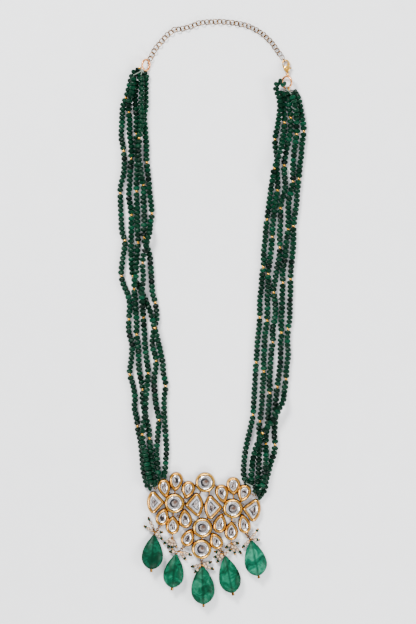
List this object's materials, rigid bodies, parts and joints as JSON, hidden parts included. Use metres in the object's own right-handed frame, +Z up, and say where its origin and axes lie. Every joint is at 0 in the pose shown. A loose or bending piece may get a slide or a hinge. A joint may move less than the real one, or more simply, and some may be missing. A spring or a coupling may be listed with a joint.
{
  "type": "pendant necklace",
  "caption": "Necklace lying flat: strings of dark green rondelle beads, a chain with a lobster clasp at the back, and a gold pendant of set glass stones with green drops and pearls.",
  "frame": {"origin": "middle of the necklace's outline, on the surface that it lies on", "axes": "+Z up, away from the surface; +Y from the pendant to the clasp's chain"},
  "size_m": [0.1222, 0.3813, 0.0072],
  "materials": {
    "green_beads": "dark green polished stone",
    "green_drops": "cloudy green polished stone",
    "set_stones": "clear glass over foil",
    "pendant_gold": "polished gold plate",
    "clasp_gold": "polished gold plate",
    "rose_gold": "polished rose gold plate",
    "chain_gold": "darkened gold plate",
    "pearl": "pearl",
    "thread": "twisted thread"
  },
  "bodies": {
    "necklace": {"pendant_frame": "pendant_gold", "drop_links": "pendant_gold", "pearls": "pearl", "stone_round_1": "set_stones", "stone_round_2": "set_stones", "stone_round_3": "set_stones", "stone_round_4": "set_stones", "stone_round_5": "set_stones", "stone_pear_1": "set_stones", "stone_pear_2": "set_stones", "stone_pear_3": "set_stones", "stone_pear_4": "set_stones", "stone_pear_5": "set_stones", "stone_pear_6": "set_stones", "stone_pear_7": "set_stones", "stone_pear_8": "set_stones", "stone_pear_9": "set_stones", "stone_pear_10": "set_stones", "stone_pear_11": "set_stones", "stone_pear_12": "set_stones", "stone_pear_13": "set_stones", "stone_pear_14": "set_stones", "stone_fan_1": "set_stones", "stone_fan_2": "set_stones", "stone_fan_3": "set_stones", "stone_fan_4": "set_stones", "drop_1": "green_drops", "drop_2": "green_drops", "drop_3": "green_drops", "drop_4": "green_drops", "drop_5": "green_drops", "drop_pin_1": "pendant_gold", "drop_pin_2": "pendant_gold", "drop_pin_3": "pendant_gold", "drop_pin_4": "pendant_gold", "drop_pin_5": "pendant_gold", "string_left_1": "green_beads", "string_left_2": "green_beads", "string_left_3": "green_beads", "string_left_4": "green_beads", "string_left_5": "green_beads", "string_right_1": "green_beads", "string_right_2": "green_beads", "string_right_3": "green_beads", "string_right_4": "green_beads", "string_right_5": "green_beads", "threads_top_left": "thread", "threads_top_right": "thread", "threads_bottom_left": "thread", "threads_bottom_right": "thread", "jump_ring_left": "rose_gold", "jump_ring_right": "rose_gold", "chain": "chain_gold", "clasp_body": "clasp_gold", "clasp_ring": "clasp_gold"},
    "lever": {"clasp_lever": "clasp_gold"}
  },
  "joints": [
    {"name": "clasp_lever_hinge", "type": "hinge", "parent": "necklace", "child": "lever", "pos_m": [0.0485, 0.1581, 0.0013], "axis": [0, 0, -1], "range_deg": [0, 22], "stiffness_Nm_per_rad": 0.015, "springref_deg": -5.73}
  ]
}
